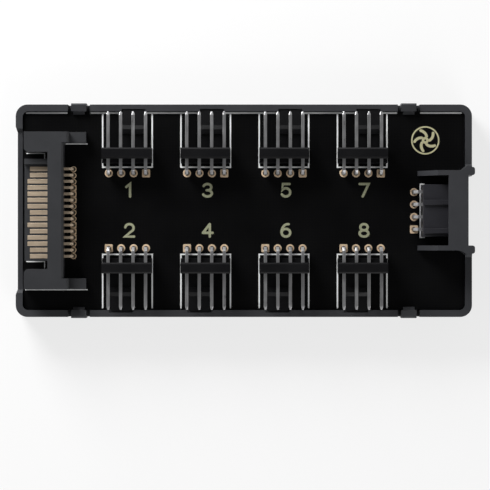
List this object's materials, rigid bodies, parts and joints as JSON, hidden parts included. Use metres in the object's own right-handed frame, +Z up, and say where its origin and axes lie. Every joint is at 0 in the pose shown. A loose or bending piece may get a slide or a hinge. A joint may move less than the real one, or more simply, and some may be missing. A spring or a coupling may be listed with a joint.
{
  "type": "pc fan controller hub",
  "caption": "Low moulded tray holding a black board with right-angle fan headers along both long edges, a flat power inlet at one end and a hooded control inlet at the other.",
  "frame": {"origin": "centre of the tray's flat base", "axes": "+X along the case from the power inlet to the control inlet, +Y across the case, +Z up from the base to the board face"},
  "size_m": [0.0932, 0.0438, 0.0161],
  "materials": {
    "case_plastic": "fine spark-eroded moulding, charcoal",
    "board_laminate": "black solder mask on glass laminate, satin",
    "header_plastic": "black moulded nylon",
    "inlet_plastic": "dark grey glass-filled moulding",
    "tinned_pin": "drawn square wire, tin plated",
    "gold_contact": "stamped strip, gold flashed",
    "lamp_resin": "clear resin on white carrier",
    "chip_ceramic": "sintered, tinned ends",
    "fuse_polymer": "moulded polymer",
    "chip_epoxy": "moulded epoxy"
  },
  "bodies": {
    "root": {"case_tray": "case_plastic", "circuit_board": "board_laminate", "fan_header_1": "header_plastic", "fan_header_2": "header_plastic", "fan_header_3": "header_plastic", "fan_header_4": "header_plastic", "fan_header_5": "header_plastic", "fan_header_6": "header_plastic", "fan_header_7": "header_plastic", "fan_header_8": "header_plastic", "fan_pins_1": "tinned_pin", "fan_pins_2": "tinned_pin", "fan_pins_3": "tinned_pin", "fan_pins_4": "tinned_pin", "fan_pins_5": "tinned_pin", "fan_pins_6": "tinned_pin", "fan_pins_7": "tinned_pin", "fan_pins_8": "tinned_pin", "power_inlet": "inlet_plastic", "power_contacts": "gold_contact", "control_inlet": "inlet_plastic", "control_contacts": "tinned_pin", "numeral_lamp_1": "lamp_resin", "numeral_lamp_2": "lamp_resin", "numeral_lamp_3": "lamp_resin", "numeral_lamp_4": "lamp_resin", "numeral_lamp_5": "lamp_resin", "numeral_lamp_6": "lamp_resin", "numeral_lamp_7": "lamp_resin", "numeral_lamp_8": "lamp_resin", "lamp_resistors": "chip_ceramic", "supply_capacitors": "chip_ceramic", "supply_fuse": "fuse_polymer", "signal_buffer": "chip_epoxy"}
  },
  "joints": []
}
